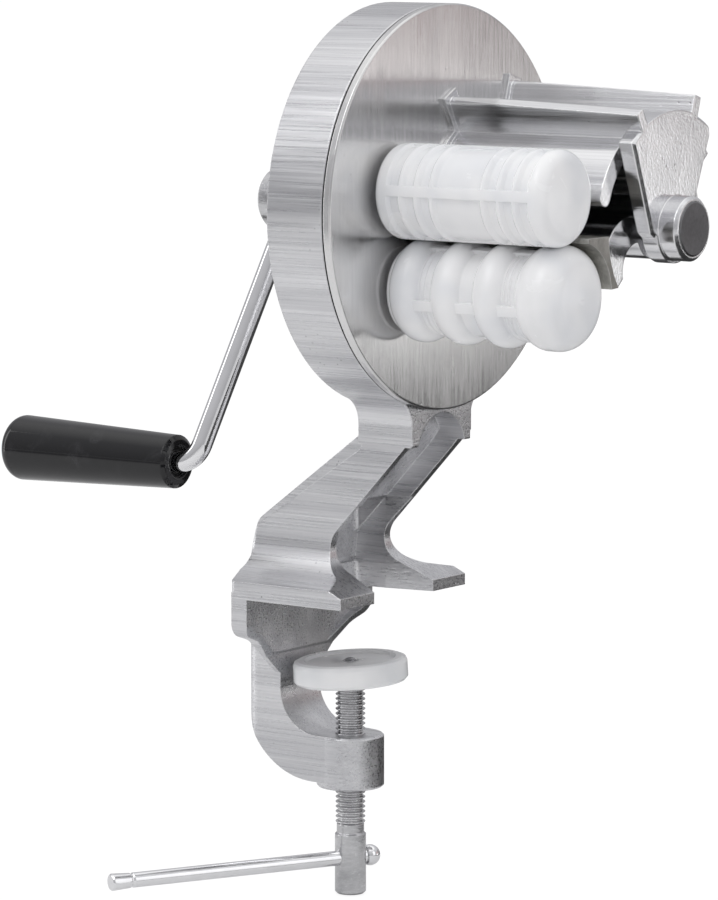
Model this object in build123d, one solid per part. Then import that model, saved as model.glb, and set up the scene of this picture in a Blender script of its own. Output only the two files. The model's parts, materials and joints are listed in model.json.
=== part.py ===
from build123d import *
from math import acos, atan2, cos, degrees, hypot, pi, radians, sin, sqrt, tan
import os

# Hand-cranked roller and former for short pasta, clamped to a table edge.
# Millimetres. +X runs along the roller shafts, away from the gear drum, and +Z is up.
# The drawing's zero is under the centre of the drum's front face, on the table top's plane.
# Every piece is written with its zero moved to the flat underside of the foot, REFERENCE_X back.

# ---- driving dimensions -------------------------------------------------------------
REFERENCE_X = -52.0
DRUM_R = 63.0
DRUM_DEPTH = 23.6
AXIS_HEIGHT = 124.0
SHELL_WALL = 5.0
REAR_WALL = 4.0
PLATE_RIM = 3.0
PLATE_SPIGOT = 3.5
EDGE_BREAK = 0.5

RUNNING_CLEARANCE = 0.05
SEAT_GAP = 0.02
SIDE_GAP = 0.4
SHAFT_R = 4.0
BUSH_R = 6.0

GEAR_MODULE = 1.0
PRESSURE_ANGLE = radians(25)
GEAR_BACKLASH = 0.16
GEAR_WIDTH = 7.0
DRIVE_TEETH = 28
ROLLER_TEETH = 31
ROTOR_TEETH = 14

UPPER_ROLLER_R = 14.7
LOWER_ROLLER_R = 16.1
ROLLER_START = 1.5
UPPER_ROLLER_END = 63.6
LOWER_ROLLER_END = 64.2
UPPER_RISE = 6.8
LOWER_SHIFT = 6.0
FLUTE_PITCH = 5.65
FLUTE_DEPTH = 1.0
MIDDLE_RECESS = 17.8
LOBE_PITCH = 15.3
LOBE_HALF = 5.2
LOBE_FLOOR_R = 13.2

ROTOR_DROP = 4.6
ROTOR_TIP_R = 26.5
ROTOR_HUB_R = 9.8
ROTOR_END = 61.5
HOOD_INNER_R = 27.8
HOOD_WALL = 5.4
HOOD_LIP_END = 62.5
HOOD_END = 69.5
HOOD_PLATE = 5.5
FIN_ROOT_R = 44.4
FIN_END_R = 41.5
FIN_THICKNESS = 3.5
BOSS_R = 10.0
BOSS_END = 76.0
ANVIL_END = 63.5

NECK_LENGTH = 8.0
LEG_HALF_WIDTH = 16.0
LEG_RIM = 3.0
POCKET_DEPTH = 6.0
FOOT_HALF_WIDTH = 33.8
FOOT_TIP_X = -17.5
FOOT_REAR_X = -60.2
PRONG_WIDTH = 17.3
SKIRT_WALL = 2.0
SKIRT_RIM = 2.6
SKIRT_DEPTH = 6.0
ARM_HALF_WIDTH = 10.5
ARM_REAR_X = -73.0
ARM_THICKNESS = 14.5

SCREW_X = -38.4
SCREW_MAJOR_R = 9.525 / 2
SCREW_PITCH = 25.4 / 16
THREAD_DEPTH = 0.85
JAW_OPENING = 45.7
CLAMP_BOSS_R = 10.8
CLAMP_BOSS_HEIGHT = 17.0
HEAD_R = 5.0
HEAD_LENGTH = 20.0
HEAD_GAP = 14.9

PAD_R = 18.3
PAD_THICKNESS = 7.6
PAD_TOP = -21.3
PAD_TILT = 3.4
BALL_R = 3.4
STUD_R = 2.0

BAR_R = 2.4
BAR_REACH = 84.0
BAR_HEADING = 243.0

CRANK_HANG = 18.0
CRANK_ROOT_X = -60.4
CRANK_RADIUS = 87.5
CRANK_SLANT = 12.45
CRANK_ROD_R = 3.3
CRANK_BEND_R = 8.0
CRANK_SHAFT_R = 5.0
CRANK_HUB_R = 9.5
BEARING_END_X = -50.5
GRIP_LENGTH = 67.2
GRIP_NEAR_R = 8.6
GRIP_FAR_R = 10.6
GRIP_BORE_GAP = 0.08

# ---- places worked out from them ----------------------------------------------------
CRANK_AXIS = (0.0, AXIS_HEIGHT)


def centre_distance(teeth_a, teeth_b):
    return GEAR_MODULE * (teeth_a + teeth_b) / 2


UPPER_DISTANCE = centre_distance(DRIVE_TEETH, ROLLER_TEETH)
ROLLER_DISTANCE = centre_distance(ROLLER_TEETH, ROLLER_TEETH)
ROTOR_DISTANCE = centre_distance(DRIVE_TEETH, ROTOR_TEETH)
UPPER_AXIS = (-sqrt(UPPER_DISTANCE**2 - UPPER_RISE**2), AXIS_HEIGHT + UPPER_RISE)
LOWER_AXIS = (
    UPPER_AXIS[0] + LOWER_SHIFT,
    UPPER_AXIS[1] - sqrt(ROLLER_DISTANCE**2 - LOWER_SHIFT**2),
)
ROTOR_AXIS = (sqrt(ROTOR_DISTANCE**2 - ROTOR_DROP**2), AXIS_HEIGHT - ROTOR_DROP)

DRUM_REAR_X = -DRUM_DEPTH
DRUM_LOW_Z = AXIS_HEIGHT - DRUM_R
DRUM_FLOOR_X = DRUM_REAR_X + REAR_WALL
SPIGOT_X = -PLATE_RIM - PLATE_SPIGOT
GEAR_FRONT_X = SPIGOT_X - 1.6
GEAR_REAR_X = GEAR_FRONT_X - GEAR_WIDTH
SIDE_SHAFT_REAR_X = DRUM_REAR_X - 5.0
SIDE_BOSS_REAR_X = SIDE_SHAFT_REAR_X - 2.5
SIDE_BOSS_R = 8.0
BORE_R = SHAFT_R + RUNNING_CLEARANCE
JAW_Z = -JAW_OPENING
BOSS_BOTTOM_Z = JAW_Z - CLAMP_BOSS_HEIGHT
LUG_R = 4.6
LUG_CIRCLE_R = DRUM_R - SHELL_WALL - 3.0
LUG_ANGLES = [45 + 72 * index for index in range(5)]
COVER_SCREW_R = 1.5


# ---- small helpers ------------------------------------------------------------------
def polar(radius, angle, centre=(0.0, 0.0)):
    turn = radians(angle)
    return (centre[0] + radius * cos(turn), centre[1] + radius * sin(turn))


def rod(start, end, radius, centre):
    """Round bar along X from start to end."""
    bar = Cylinder(radius, end - start, align=(Align.CENTER, Align.CENTER, Align.MIN))
    return Pos(start, centre[0], centre[1]) * Rot(0, 90, 0) * bar


def upright(bottom, top, radius):
    bar = Cylinder(radius, top - bottom, align=(Align.CENTER, Align.CENTER, Align.MIN))
    return Pos(SCREW_X, 0, bottom) * bar


def slab_x(face, start, end):
    """Face drawn in Y and Z, extruded along X."""
    return Pos(start, 0, 0) * extrude(Plane.YZ * face, amount=end - start)


def slab_y(face, half_width):
    """Face drawn in X and Z, extruded both ways along Y."""
    return extrude(Plane.XZ * face, amount=half_width, both=True)


def outline(*corners):
    """Closed face through the corners. A third number in a corner rounds it."""
    lines = []
    starts = []
    ends = []
    count = len(corners)
    for index, corner in enumerate(corners):
        here = Vector(corner[0], corner[1])
        before = Vector(*corners[index - 1][:2]) - here
        after = Vector(*corners[(index + 1) % count][:2]) - here
        radius = corner[2] if len(corner) > 2 else 0.0
        if radius == 0.0:
            starts.append(here)
            ends.append(here)
            continue
        half = acos(max(-1.0, min(1.0, before.normalized().dot(after.normalized())))) / 2
        reach = radius / tan(half)
        first = here + before.normalized() * reach
        last = here + after.normalized() * reach
        inward = (before.normalized() + after.normalized()).normalized()
        middle = here + inward * (radius / sin(half) - radius)
        lines.append(ThreePointArc(first, middle, last))
        starts.append(first)
        ends.append(last)
    for index in range(count):
        leave = ends[index]
        arrive = starts[(index + 1) % count]
        if (arrive - leave).length > 1e-6:
            lines.append(Line(leave, arrive))
    return make_face(Wire.combine([edge for line in lines for edge in line.edges()])[0].edges())


def ring_sector(inner, outer, low, high, centre=(0.0, 0.0)):
    """Part of a ring between two angles."""
    middle = (low + high) / 2
    lines = [
        ThreePointArc(polar(outer, low), polar(outer, middle), polar(outer, high)),
        Line(polar(outer, high), polar(inner, high)),
        ThreePointArc(polar(inner, high), polar(inner, middle), polar(inner, low)),
        Line(polar(inner, low), polar(outer, low)),
    ]
    return Pos(centre[0], centre[1]) * make_face([edge for line in lines for edge in line.edges()])


def turned(points, centre):
    """Piece turned about X from (x, radius) points. A point with two parts more is an arc's middle."""
    lines = []
    for first, second in zip(points, points[1:]):
        if len(second) == 4:
            lines.append(ThreePointArc(first[:2], second[2:], second[:2]))
        else:
            lines.append(Line(first[:2], second[:2]))
    lines.append(Line(points[-1][:2], points[0][:2]))
    face = make_face([edge for line in lines for edge in line.edges()])
    return Pos(0, centre[0], centre[1]) * revolve(face, Axis.X)


def save(shape, name):
    placed = [Pos(-REFERENCE_X, 0, 0) * solid for solid in shape.solids()]
    whole = placed[0] if len(placed) == 1 else Compound(placed)
    export_step(whole, f"parts/{name}.step")


# ---- gears --------------------------------------------------------------------------
def gear_face(teeth, phase):
    """Involute spur gear outline with one tooth's middle at the phase angle, in radians."""
    pitch_r = GEAR_MODULE * teeth / 2
    base_r = pitch_r * cos(PRESSURE_ANGLE)
    tip_r = pitch_r + 0.9 * GEAR_MODULE
    root_r = pitch_r - 1.2 * GEAR_MODULE
    half_pitch_angle = (pi * GEAR_MODULE / 2 - GEAR_BACKLASH) / (2 * pitch_r)
    flank_at_pitch = tan(PRESSURE_ANGLE) - PRESSURE_ANGLE
    steps = 6

    def half_angle(radius):
        roll = acos(min(1.0, base_r / radius))
        return half_pitch_angle + flank_at_pitch - (tan(roll) - roll)

    low_r = max(base_r, root_r)
    flank = [low_r + (tip_r - low_r) * step / steps for step in range(steps + 1)]
    points = []
    for tooth in range(teeth):
        middle = phase + 2 * pi * tooth / teeth
        rising = [(radius, middle - half_angle(radius)) for radius in flank]
        falling = [(radius, middle + half_angle(radius)) for radius in reversed(flank)]
        root_in = (root_r, rising[0][1])
        root_out = (root_r, falling[-1][1])
        for radius, angle in [root_in] + rising + falling + [root_out]:
            points.append((radius * cos(angle), radius * sin(angle)))
    return Polygon(*points, align=None)


def meshing_phase(axis_a, teeth_a, phase_a, axis_b, teeth_b):
    """Phase of gear b that puts one of its gaps over a tooth of gear a."""
    line = atan2(axis_b[1] - axis_a[1], axis_b[0] - axis_a[0])
    travel = teeth_a * (phase_a - line) + pi
    return line + pi - travel / teeth_b


def gear(teeth, phase, axis, bore, hub_r):
    """Spur gear with a hub on its rear face."""
    blank = slab_x(gear_face(teeth, phase), GEAR_REAR_X, GEAR_FRONT_X)
    blank = Pos(0, axis[0], axis[1]) * blank
    hub = rod(GEAR_REAR_X - 1.5, GEAR_REAR_X + 1, hub_r, axis)
    hole = rod(GEAR_REAR_X - 3, GEAR_FRONT_X + 1, bore, axis)
    return blank + hub - hole


def gear_train():
    drive_phase = 0.0
    upper_phase = meshing_phase(CRANK_AXIS, DRIVE_TEETH, drive_phase, UPPER_AXIS, ROLLER_TEETH)
    lower_phase = meshing_phase(UPPER_AXIS, ROLLER_TEETH, upper_phase, LOWER_AXIS, ROLLER_TEETH)
    rotor_phase = meshing_phase(CRANK_AXIS, DRIVE_TEETH, drive_phase, ROTOR_AXIS, ROTOR_TEETH)
    crank_bore = CRANK_SHAFT_R + SEAT_GAP
    side_bore = SHAFT_R + SEAT_GAP
    save(gear(DRIVE_TEETH, drive_phase, CRANK_AXIS, crank_bore, 9.0), "drive_gear")
    save(gear(ROLLER_TEETH, upper_phase, UPPER_AXIS, side_bore, 7.0), "upper_roller_gear")
    save(gear(ROLLER_TEETH, lower_phase, LOWER_AXIS, side_bore, 7.0), "lower_roller_gear")
    save(gear(ROTOR_TEETH, rotor_phase, ROTOR_AXIS, side_bore, 5.2), "rotor_pinion")


# ---- frame casting ------------------------------------------------------------------
LEG_FRONT_TOP = (-PLATE_RIM, DRUM_LOW_Z - NECK_LENGTH)
LEG_FRONT_FOOT = (-40.0, 13.5)
LEG_REAR_TOP = (DRUM_REAR_X + 1.5, DRUM_LOW_Z - NECK_LENGTH - 4)
LEG_REAR_FOOT = (-63.6, 21.0)


def drum_outline():
    """Drum circle with the neck's concave corners, seen from the front."""
    neck_top = DRUM_LOW_Z + 20
    neck_low = LEG_FRONT_TOP[1] - 3
    neck = Pos(0, (neck_top + neck_low) / 2) * Rectangle(2 * LEG_HALF_WIDTH, neck_top - neck_low)
    face = Pos(0, AXIS_HEIGHT) * Circle(DRUM_R) + neck
    crossing_z = AXIS_HEIGHT - sqrt(DRUM_R**2 - LEG_HALF_WIDTH**2)
    corners = [v for v in face.vertices() if abs(v.Y - crossing_z) < 0.5]
    return fillet(corners, 9.0)


def drum_body():
    """Solid drum with its neck and rear bearing bosses."""
    body = slab_x(drum_outline(), DRUM_REAR_X, -PLATE_RIM)
    body = chamfer(body.faces().sort_by(Axis.X)[-1].outer_wire().edges(), EDGE_BREAK)
    crank_boss = rod(BEARING_END_X, DRUM_REAR_X + 1, CRANK_SHAFT_R + 9, CRANK_AXIS)
    body += chamfer(crank_boss.edges().filter_by(GeomType.CIRCLE).sort_by(Axis.X)[0], 1.0)
    for axis in (UPPER_AXIS, LOWER_AXIS, ROTOR_AXIS):
        boss = rod(SIDE_BOSS_REAR_X, DRUM_REAR_X + 1, SIDE_BOSS_R, axis)
        body += chamfer(boss.edges().filter_by(GeomType.CIRCLE).sort_by(Axis.X)[0], 0.8)
    return body


def drum_lugs():
    lugs = []
    for angle in LUG_ANGLES:
        place = polar(LUG_CIRCLE_R, angle, CRANK_AXIS)
        lugs.append(rod(DRUM_FLOOR_X - 1, SPIGOT_X - SEAT_GAP, LUG_R, place))
    return lugs


def drum_holes():
    """Bearing bores and screw holes of the drum's rear wall."""
    holes = [rod(BEARING_END_X - 1, 0, CRANK_SHAFT_R + 2.0, CRANK_AXIS)]
    for axis in (UPPER_AXIS, LOWER_AXIS, ROTOR_AXIS):
        holes.append(rod(SIDE_SHAFT_REAR_X, 0, BORE_R, axis))
    for angle in LUG_ANGLES:
        place = polar(LUG_CIRCLE_R, angle, CRANK_AXIS)
        holes.append(rod(DRUM_REAR_X - 1, 0, COVER_SCREW_R + 0.2, place))
        holes.append(rod(DRUM_REAR_X - 1, DRUM_REAR_X + 2.2, 3.1, place))
    return holes


def leg():
    """Slanted leg that spreads into the two prongs of the foot."""
    side = outline(
        (-PLATE_RIM, DRUM_LOW_Z + 14),
        LEG_FRONT_TOP,
        (*LEG_FRONT_FOOT, 8.0),
        (FOOT_TIP_X, 3.6),
        (FOOT_TIP_X, 0),
        (FOOT_REAR_X - 5, 0),
        (*LEG_REAR_FOOT, 3.0),
        (*LEG_REAR_TOP, 4.0),
        (DRUM_REAR_X + 1.5, DRUM_LOW_Z + 14),
    )
    front = outline(
        (-LEG_HALF_WIDTH, DRUM_LOW_Z + 14),
        (-LEG_HALF_WIDTH, 9.0, 11.0),
        (-FOOT_HALF_WIDTH, 5.6),
        (-FOOT_HALF_WIDTH, 0),
        (FOOT_HALF_WIDTH, 0),
        (FOOT_HALF_WIDTH, 5.6),
        (LEG_HALF_WIDTH, 9.0, 11.0),
        (LEG_HALF_WIDTH, DRUM_LOW_Z + 14),
    )
    plan = outline(
        (0, -FOOT_HALF_WIDTH),
        (FOOT_REAR_X, -FOOT_HALF_WIDTH, 2.0),
        (FOOT_REAR_X - 5, -LEG_HALF_WIDTH - 6, 4.0),
        (FOOT_REAR_X - 8, -LEG_HALF_WIDTH + 2.5),
        (FOOT_REAR_X - 8, LEG_HALF_WIDTH - 2.5),
        (FOOT_REAR_X - 5, LEG_HALF_WIDTH + 6, 4.0),
        (FOOT_REAR_X, FOOT_HALF_WIDTH, 2.0),
        (0, FOOT_HALF_WIDTH),
    )
    body = slab_y(side, FOOT_HALF_WIDTH + 1) & slab_x(front, -90, 5)
    body = body & extrude(plan, amount=80)
    return body


def leg_cuts():
    """Front pocket of the leg and the gap between the prongs."""
    depth = POCKET_DEPTH
    side = outline(
        (5, DRUM_LOW_Z + 14),
        (5, 8),
        (LEG_FRONT_FOOT[0] - depth, 8),
        (LEG_FRONT_FOOT[0] - depth + 1, LEG_FRONT_FOOT[1] + 4),
        (LEG_FRONT_TOP[0] - depth - 3, LEG_FRONT_TOP[1]),
        (LEG_FRONT_TOP[0] - depth, DRUM_LOW_Z + 14),
    )
    half = LEG_HALF_WIDTH - LEG_RIM
    arch_top = DRUM_LOW_Z - 1.2
    front = Pos(0, (arch_top - half) / 2) * Rectangle(2 * half, arch_top - half)
    front += Pos(0, arch_top - half) * Circle(half)
    pocket = slab_y(side, half + 1) & slab_x(front, -90, 5)
    inner = FOOT_HALF_WIDTH - PRONG_WIDTH
    notch_back = LEG_FRONT_FOOT[0] - depth + 1
    gap = outline(
        (notch_back, -half + 1, 2.0),
        (LEG_FRONT_FOOT[0] + 6, -half),
        (FOOT_TIP_X + 3, -inner),
        (5, -inner),
        (5, inner),
        (FOOT_TIP_X + 3, inner),
        (LEG_FRONT_FOOT[0] + 6, half),
        (notch_back, half - 1, 2.0),
    )
    return pocket + Pos(0, 0, -2) * extrude(gap, amount=32)


def skirt_pan(inset, top):
    """Outline of the skirt, narrowing down to the clamp arm."""
    width = FOOT_HALF_WIDTH - inset
    waist = ARM_HALF_WIDTH - inset
    return outline(
        (-width, top),
        (-width, -11.5 + inset / 2, 5.0),
        (-FOOT_HALF_WIDTH + 9, -14.5 + inset, 10.0),
        (-waist, -27 + inset, 4.0),
        (waist, -27 + inset, 4.0),
        (FOOT_HALF_WIDTH - 9, -14.5 + inset, 10.0),
        (width, -11.5 + inset / 2, 5.0),
        (width, top),
    )


def skirt():
    """Pan-shaped wall that meets the table's edge, with a rim that slopes back to the arm."""
    rim_front = FOOT_REAR_X + SKIRT_DEPTH
    arm_front = ARM_REAR_X + ARM_THICKNESS
    outer = slab_x(skirt_pan(0, 2.0), FOOT_REAR_X, rim_front)
    hollow = slab_x(skirt_pan(SKIRT_RIM, 0.0), FOOT_REAR_X + SKIRT_WALL, rim_front + 1)
    slope = outline(
        (FOOT_REAR_X - 1, 5),
        (rim_front, 5),
        (rim_front, -9, 3.0),
        (arm_front, -20.5),
        (arm_front, -40),
        (FOOT_REAR_X - 1, -40),
    )
    return (outer - hollow) & slab_y(slope, FOOT_HALF_WIDTH + 1)


def clamp_arm():
    """Rear rib of the leg that runs down into the C-shaped clamp arm and its screw boss."""
    front_x = ARM_REAR_X + ARM_THICKNESS
    side = outline(
        (DRUM_REAR_X + 1, DRUM_LOW_Z - 5.5),
        (ARM_REAR_X + 6, 22.2, 6.0),
        (ARM_REAR_X, 4.0, 6.0),
        (ARM_REAR_X, BOSS_BOTTOM_Z + 3.5, 27.0),
        (SCREW_X - 8, BOSS_BOTTOM_Z + 2.0),
        (SCREW_X, BOSS_BOTTOM_Z + 2.0),
        (SCREW_X, JAW_Z),
        (SCREW_X - 7, JAW_Z),
        (front_x, JAW_Z, 14.0),
        (front_x, 4.0),
        (front_x + 8, 18.0),
        (DRUM_REAR_X + 4, DRUM_LOW_Z - 9),
    )
    arm = slab_y(side, ARM_HALF_WIDTH)
    plan = outline(
        (10, -ARM_HALF_WIDTH),
        (ARM_REAR_X, -ARM_HALF_WIDTH, 5.5),
        (ARM_REAR_X, ARM_HALF_WIDTH, 5.5),
        (10, ARM_HALF_WIDTH),
    )
    arm = arm & Pos(0, 0, -90) * extrude(plan, amount=170)
    boss = upright(BOSS_BOTTOM_Z, JAW_Z, CLAMP_BOSS_R)
    boss = chamfer(boss.edges().filter_by(GeomType.CIRCLE), 0.6)
    return arm + boss


def frame_casting():
    body = leg() + skirt() + clamp_arm() + drum_body() - leg_cuts()
    body -= rod(DRUM_FLOOR_X, 0, DRUM_R - SHELL_WALL, CRANK_AXIS)
    for lug in drum_lugs():
        body += lug
    for hole in drum_holes():
        body -= hole
    return body - upright(BOSS_BOTTOM_Z - 1, JAW_Z + 1, SCREW_MAJOR_R + RUNNING_CLEARANCE)


# ---- front plate, bushes and screws -------------------------------------------------
def front_plate():
    plate = rod(-PLATE_RIM, 0, DRUM_R, CRANK_AXIS)
    plate = chamfer(plate.edges().filter_by(GeomType.CIRCLE), EDGE_BREAK)
    plate += rod(SPIGOT_X, -PLATE_RIM + 0.5, DRUM_R - SHELL_WALL - 0.1, CRANK_AXIS)
    for axis in (UPPER_AXIS, LOWER_AXIS, ROTOR_AXIS):
        plate -= rod(SPIGOT_X - 1, 1, BUSH_R + SEAT_GAP, axis)
    plate -= rod(SPIGOT_X - 1, -1.5, CRANK_SHAFT_R + 2.0, CRANK_AXIS)
    for angle in LUG_ANGLES:
        place = polar(LUG_CIRCLE_R, angle, CRANK_AXIS)
        plate -= rod(SPIGOT_X - 1, -1.2, COVER_SCREW_R + SEAT_GAP, place)
    for place in hood_screw_places() + anvil_screw_places():
        plate -= rod(SPIGOT_X - 1, 1, 1.7, place)
        plate -= rod(SPIGOT_X - 1, SPIGOT_X + 2.4, 3.0, place)
    return plate


def bush(axis, start, end, inner, outer):
    return rod(start, end, outer, axis) - rod(start - 1, end + 1, inner, axis)


def bushes():
    for name, axis in (
        ("upper_roller_bush", UPPER_AXIS),
        ("lower_roller_bush", LOWER_AXIS),
        ("rotor_bush", ROTOR_AXIS),
    ):
        save(bush(axis, SPIGOT_X, 0, BORE_R, BUSH_R), name)
    crank_bore = CRANK_SHAFT_R + RUNNING_CLEARANCE
    outer = CRANK_SHAFT_R + 2.0 - SEAT_GAP
    save(bush(CRANK_AXIS, SPIGOT_X, -1.6, crank_bore, outer), "crank_front_bush")
    save(bush(CRANK_AXIS, BEARING_END_X, DRUM_FLOOR_X - 0.5, crank_bore, outer), "crank_rear_bush")


def pan_screw(place, start, end, head_start, head_r, shank_r):
    """Screw along X whose head lies at the low end, with a cross-slot."""
    screw = rod(head_start + 1, end, shank_r, place) + rod(head_start, start, head_r, place)
    slot = Pos(head_start, place[0], place[1]) * Box(1.6, 2 * head_r - 1.6, 0.8)
    cross = Pos(head_start, place[0], place[1]) * Box(1.6, 0.8, 2 * head_r - 1.6)
    return screw - slot - cross


def cover_screws():
    screws = []
    for angle in LUG_ANGLES:
        place = polar(LUG_CIRCLE_R, angle, CRANK_AXIS)
        screws.append(pan_screw(place, DRUM_REAR_X + 2.2, -1.3, DRUM_REAR_X, 2.9, COVER_SCREW_R))
    return Compound(children=screws)


def hood_screw_places():
    middle = HOOD_INNER_R + HOOD_WALL / 2 + 0.6
    return [polar(middle, angle, ROTOR_AXIS) for angle in (143, 97, 52)]


def anvil_screw_places():
    return [(ROTOR_AXIS[0] - HOOD_INNER_R - 4.0, ROTOR_AXIS[1] - 3.4)]


def tapped_screws(places, depth):
    screws = []
    for place in places:
        screws.append(pan_screw(place, SPIGOT_X + 2.4, depth, SPIGOT_X + 0.2, 2.8, 1.5))
    return Compound(children=screws)


# ---- forming head -------------------------------------------------------------------
def fin(angle):
    length = FIN_ROOT_R - HOOD_INNER_R - 2
    blade = Pos(HOOD_INNER_R + 2 + length / 2, 0) * Rectangle(length, FIN_THICKNESS)
    return Pos(*ROTOR_AXIS) * Rot(0, 0, angle) * blade


def forming_hood():
    """Fixed arched hood with two top fins, a fan-shaped end plate and the end boss."""
    plate_back = HOOD_END - HOOD_PLATE
    outer = HOOD_INNER_R + HOOD_WALL
    hood = slab_x(ring_sector(HOOD_INNER_R, outer, 128, 160, ROTOR_AXIS), 0, HOOD_LIP_END)
    tip = polar(HOOD_INNER_R + HOOD_WALL / 2, 160, ROTOR_AXIS)
    hood += rod(0, HOOD_LIP_END, HOOD_WALL / 2, tip)
    hood += slab_x(ring_sector(HOOD_INNER_R, outer, 40, 130, ROTOR_AXIS), 0, plate_back + 1)
    hood += slab_x(ring_sector(HOOD_INNER_R + 1, outer + 2.8, 73, 120, ROTOR_AXIS), 0, HOOD_END)
    taper = Pos(HOOD_END / 2, *ROTOR_AXIS) * Rot(0, 90, 0) * Cone(FIN_ROOT_R, FIN_END_R, HOOD_END)
    for angle in (119.5, 73):
        ridge = slab_x(fin(angle), 0, HOOD_END)
        length_edges = [e for e in ridge.edges().filter_by(Axis.X) if far_from_rotor(e)]
        ridge = fillet(length_edges, FIN_THICKNESS / 2 - 0.1)
        hood += ridge & taper
    fan = outline(
        polar(13.2, 184),
        polar(39.0, 130),
        polar(46.0, 120),
        polar(48.0, 96),
        polar(44.0, 66),
        polar(33.8, 54),
        polar(14.5, 35),
        (0, -BOSS_R + 1),
    ) & Circle(outer + 2.8)
    plate = slab_x(Pos(*ROTOR_AXIS) * fan, plate_back, HOOD_END)
    plate = chamfer(plate.faces().sort_by(Axis.X)[-1].outer_wire().edges(), 0.9)
    plate += rod(plate_back, HOOD_END, BOSS_R + 0.8, ROTOR_AXIS)
    boss = rod(plate_back, BOSS_END, BOSS_R, ROTOR_AXIS)
    boss = chamfer(boss.edges().filter_by(GeomType.CIRCLE).sort_by(Axis.X)[-1], 1.0)
    hood += plate + boss
    hood += slab_x(root_outline(), 0, 1.4)
    hood -= rod(plate_back - 1, BOSS_END - 3.0, BORE_R, ROTOR_AXIS)
    hood -= rod(BOSS_END - 2.4, BOSS_END + 1, BOSS_R - 1.6, ROTOR_AXIS)
    for place in hood_screw_places():
        hood -= rod(-1, 7, 1.5 + SEAT_GAP, place)
    return hood


def far_from_rotor(edge):
    centre = edge.center()
    return hypot(centre.Y - ROTOR_AXIS[0], centre.Z - ROTOR_AXIS[1]) > FIN_ROOT_R - 3


def root_outline():
    """Raised line on the drum face around the root of the hood."""
    grow = 1.6
    outer = HOOD_INNER_R + HOOD_WALL
    ring = ring_sector(HOOD_INNER_R + 0.4, outer + grow, 39, 161, ROTOR_AXIS)
    ring += ring_sector(HOOD_INNER_R + 1, outer + 2.8 + grow, 73, 120, ROTOR_AXIS)
    for angle in (119.5, 73):
        length = FIN_ROOT_R - HOOD_INNER_R - 2 + grow
        blade = Pos(HOOD_INNER_R + 2 + length / 2, 0) * Rectangle(length, FIN_THICKNESS + 2 * grow)
        ring += Pos(*ROTOR_AXIS) * Rot(0, 0, angle) * blade
    return ring


def forming_anvil():
    """Fixed wedge between the lower roller and the rotor, with a flat shelf for the dough."""
    lower_r = LOWER_ROLLER_R + 0.8
    rotor_r = HOOD_INNER_R + 0.4
    shelf_z = ROTOR_AXIS[1] - 1.1
    right_top = (ROTOR_AXIS[0] - sqrt(rotor_r**2 - 1.1**2), shelf_z)
    right_low = polar(rotor_r, 217, ROTOR_AXIS)
    right_mid = polar(rotor_r, 200, ROTOR_AXIS)
    left_top = polar(lower_r, 77, LOWER_AXIS)
    left_mid = polar(lower_r, 42, LOWER_AXIS)
    left_low = polar(lower_r, 6, LOWER_AXIS)
    lines = [
        Line((left_top[0], shelf_z), right_top),
        ThreePointArc(right_top, right_mid, right_low),
        Line(right_low, left_low),
        ThreePointArc(left_low, left_mid, left_top),
        Line(left_top, (left_top[0], shelf_z)),
    ]
    face = make_face([edge for line in lines for edge in line.edges()])
    anvil = slab_x(face, 0, ANVIL_END)
    for place in anvil_screw_places():
        anvil -= rod(-1, 9, 1.5 + SEAT_GAP, place)
    return anvil


def forming_rotor():
    """Hub with two hooked blades that press and curl the dough."""
    start = ROLLER_START + 0.5
    hub = rod(start, ROTOR_END, ROTOR_HUB_R, ROTOR_AXIS)
    root = ROTOR_HUB_R - 1.5
    lines = [
        ThreePointArc(polar(root, 160), polar(19, 172), polar(ROTOR_TIP_R, 191)),
        ThreePointArc(polar(ROTOR_TIP_R, 191), polar(ROTOR_TIP_R, 206), polar(ROTOR_TIP_R, 221)),
        Line(polar(ROTOR_TIP_R, 221), polar(22.5, 221)),
        ThreePointArc(polar(22.5, 221), polar(14.6, 203), polar(root, 212)),
        Line(polar(root, 212), polar(root, 160)),
    ]
    blade = make_face([edge for line in lines for edge in line.edges()])
    for turn in (0, 180):
        hub += slab_x(Pos(*ROTOR_AXIS) * Rot(0, 0, turn) * blade, start, ROTOR_END)
    return hub - rod(start - 1, ROTOR_END + 1, SHAFT_R + SEAT_GAP, ROTOR_AXIS)


def boss_plug():
    plug = rod(BOSS_END - 2.4, BOSS_END + 0.4, BOSS_R - 1.6 - SEAT_GAP, ROTOR_AXIS)
    return chamfer(plug.edges().filter_by(GeomType.CIRCLE).sort_by(Axis.X)[-1], 0.35)


# ---- dough rollers ------------------------------------------------------------------
def roller_ribs(axis, radius, start, end, turn):
    """Four narrow flats along the roller, level with the given radius."""
    bars = None
    for quarter in (0, 90):
        bar = Pos((start + end) / 2, 0, 0) * Box(end - start, 3.4, 2 * radius + 2)
        bar = Rot(turn + quarter, 0, 0) * bar
        bars = bar if bars is None else bars + bar
    cover = rod(start, end, radius, (0, 0))
    return Pos(0, axis[0], axis[1]) * (bars & cover)


def ring_groove(start, end, full, floor, side):
    return [(start, full), (start + side, floor), (end - side, floor), (end, full)]


def roller_end(length, full, corner):
    """Rounded rim and slightly domed end face of a roller."""
    rim_x = length - 0.6
    bite = corner * 0.293
    return [
        (rim_x - corner, full),
        (rim_x, full - corner, rim_x - bite, full - bite),
        (length, 0),
    ]


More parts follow.
